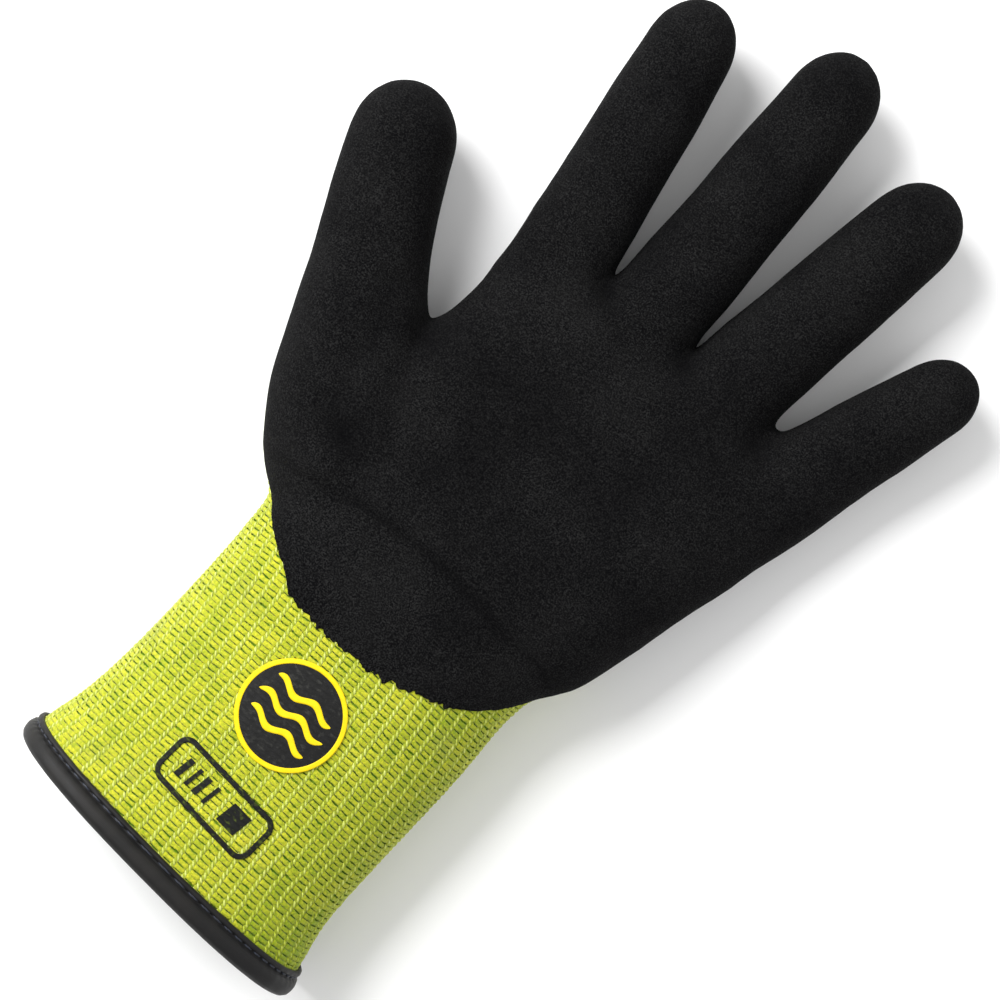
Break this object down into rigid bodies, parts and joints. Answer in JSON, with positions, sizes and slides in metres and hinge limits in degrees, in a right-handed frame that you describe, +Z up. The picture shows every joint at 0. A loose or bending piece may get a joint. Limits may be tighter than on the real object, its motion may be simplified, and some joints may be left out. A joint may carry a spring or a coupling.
{
  "type": "diving glove",
  "caption": "left-hand five-finger diving glove lying palm up: knitted liner with a long cuff, foam coating over the hand, bound cuff edge and printed marks",
  "frame": {"origin": "middle of the footprint, on the surface that the glove lies on", "axes": "+Y from the cuff to the fingertips, +X from the thumb's side to the little finger's side, +Z up out of the palm"},
  "size_m": [0.1568, 0.2546, 0.0421],
  "materials": {
    "knit": "coarse seamless knit in two yellow-green yarns, with raised bars in columns along the cuff",
    "foam": "matte foamed nitrile with a fine sandy grain",
    "binding": "smooth charcoal tape with a soft sheen, sewn with dark thread",
    "badge": "flexible printed film, black field with a yellow rim",
    "print": "flexible printed film, black"
  },
  "bodies": {
    "root": {"knit_liner": "knit", "foam_coating": "foam", "cuff_binding": "binding", "badge_film": "badge", "size_film": "print"}
  },
  "joints": []
}
